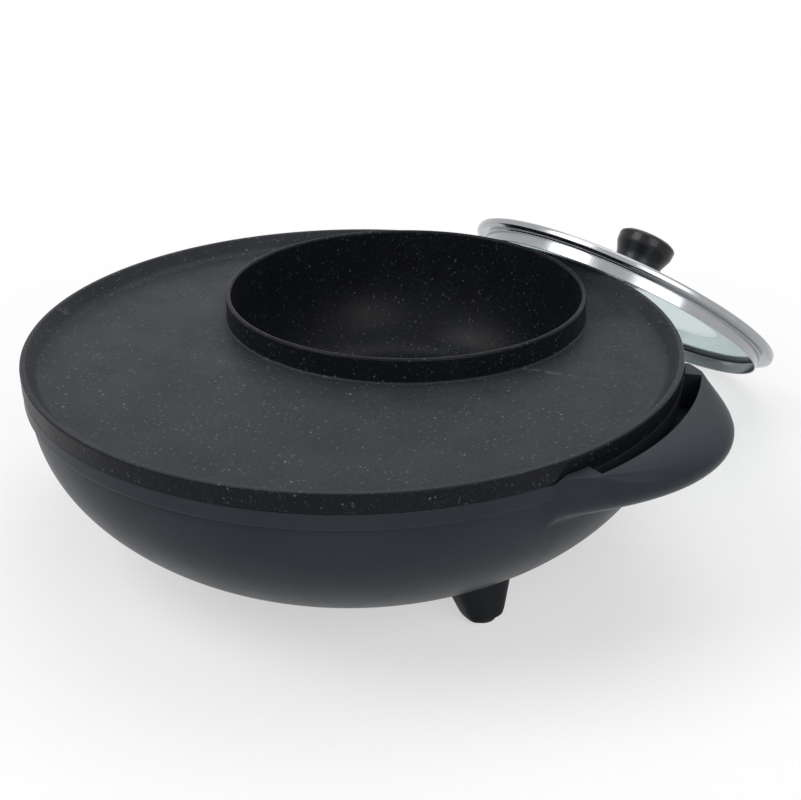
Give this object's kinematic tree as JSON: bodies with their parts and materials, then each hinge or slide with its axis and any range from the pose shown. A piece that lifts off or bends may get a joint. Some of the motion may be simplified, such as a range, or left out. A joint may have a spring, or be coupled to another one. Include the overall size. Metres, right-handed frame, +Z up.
{
  "type": "electric hot pot grill",
  "caption": "Round electric table grill with a hot pot well in its non-stick plate, a slate housing with a side grip, and a glass lid leaning on the rim.",
  "frame": {"origin": "centre of the bottom cover's flat underside, on the round housing's axis", "axes": "+X towards the side grip, +Y from the housing's axis towards the pot well, +Z up"},
  "size_m": [0.4496, 0.5643, 0.1554],
  "materials": {
    "stone_coating": "satin black non-stick coating with pale flecks",
    "slate_plastic": "satin slate grey",
    "cover_plastic": "matt black",
    "panel_plastic": "semi-gloss black",
    "foot_plastic": "matt black",
    "pad_rubber": "matt black",
    "screw_steel": "zinc plated",
    "shield_steel": "bright aluminised sheet",
    "heater_sheath": "dull grey sheath",
    "clip_steel": "plain sheet",
    "dial_plastic": "semi-gloss black",
    "lamp_plastic": "clear red",
    "thermostat_body": "matt cream",
    "sensor_copper": "drawn copper",
    "white_ceramic": "glazed white",
    "inlet_plastic": "matt black",
    "earth_lead_sleeve": "satin green",
    "live_lead_sleeve": "satin brown",
    "neutral_lead_sleeve": "satin blue",
    "washer_silicone": "matt grey",
    "polished_steel": "polished",
    "lid_glass_clear": "clear tempered",
    "knob_plastic": "gloss black"
  },
  "bodies": {
    "base": {"base_housing": "slate_plastic", "bottom_cover": "cover_plastic", "control_panel": "panel_plastic", "cover_screw_1": "screw_steel", "cover_screw_2": "screw_steel", "cover_screw_3": "screw_steel", "earth_lead": "earth_lead_sleeve", "foot_back_left": "foot_plastic", "foot_back_right": "foot_plastic", "foot_front_left": "foot_plastic", "foot_front_right": "foot_plastic", "foot_pad_back_left": "pad_rubber", "foot_pad_back_right": "pad_rubber", "foot_pad_front_left": "pad_rubber", "foot_pad_front_right": "pad_rubber", "foot_screw_back_left": "screw_steel", "foot_screw_back_right": "screw_steel", "foot_screw_front_left": "screw_steel", "foot_screw_front_right": "screw_steel", "grill_heater": "heater_sheath", "grill_heater_clip_1": "clip_steel", "grill_heater_clip_2": "clip_steel", "grill_heater_clip_3": "clip_steel", "grill_lamp_lens": "lamp_plastic", "grill_sensor": "sensor_copper", "grill_thermostat": "thermostat_body", "heat_shield": "shield_steel", "inlet_pin_1": "polished_steel", "inlet_pin_2": "polished_steel", "inlet_pin_3": "polished_steel", "live_lead": "live_lead_sleeve", "neutral_lead": "neutral_lead_sleeve", "panel_screw_1": "screw_steel", "panel_screw_2": "screw_steel", "pot_heater": "heater_sheath", "pot_heater_clip_1": "clip_steel", "pot_heater_clip_2": "clip_steel", "pot_heater_clip_3": "clip_steel", "pot_lamp_lens": "lamp_plastic", "pot_sensor": "sensor_copper", "pot_thermostat": "thermostat_body", "power_inlet": "inlet_plastic", "terminal_block": "white_ceramic", "thermal_fuse": "white_ceramic"},
    "plate": {"cooking_plate": "stone_coating"},
    "lid": {"lid_rim": "polished_steel", "lid_glass": "lid_glass_clear", "lid_knob": "knob_plastic", "lid_knob_screw": "screw_steel", "lid_knob_washer": "washer_silicone", "lid_vent": "polished_steel"},
    "grill_control": {"grill_dial": "dial_plastic", "grill_dial_shaft": "polished_steel"},
    "pot_control": {"pot_dial": "dial_plastic", "pot_dial_shaft": "polished_steel"}
  },
  "joints": [
    {"name": "plate_lift", "type": "slide", "parent": "base", "child": "plate", "axis": [0, 0, 1], "range_m": [0, 0.12]},
    {"name": "lid_lift", "type": "slide", "parent": "plate", "child": "lid", "axis": [0, 0, 1], "range_m": [0, 0.25]},
    {"name": "grill_dial_turn", "type": "hinge", "parent": "base", "child": "grill_control", "pos_m": [-0.196, -0.03, 0.053], "axis": [-1, 0, 0], "range_deg": [0, 280]},
    {"name": "pot_dial_turn", "type": "hinge", "parent": "base", "child": "pot_control", "pos_m": [-0.196, 0.03, 0.053], "axis": [-1, 0, 0], "range_deg": [0, 280]}
  ]
}
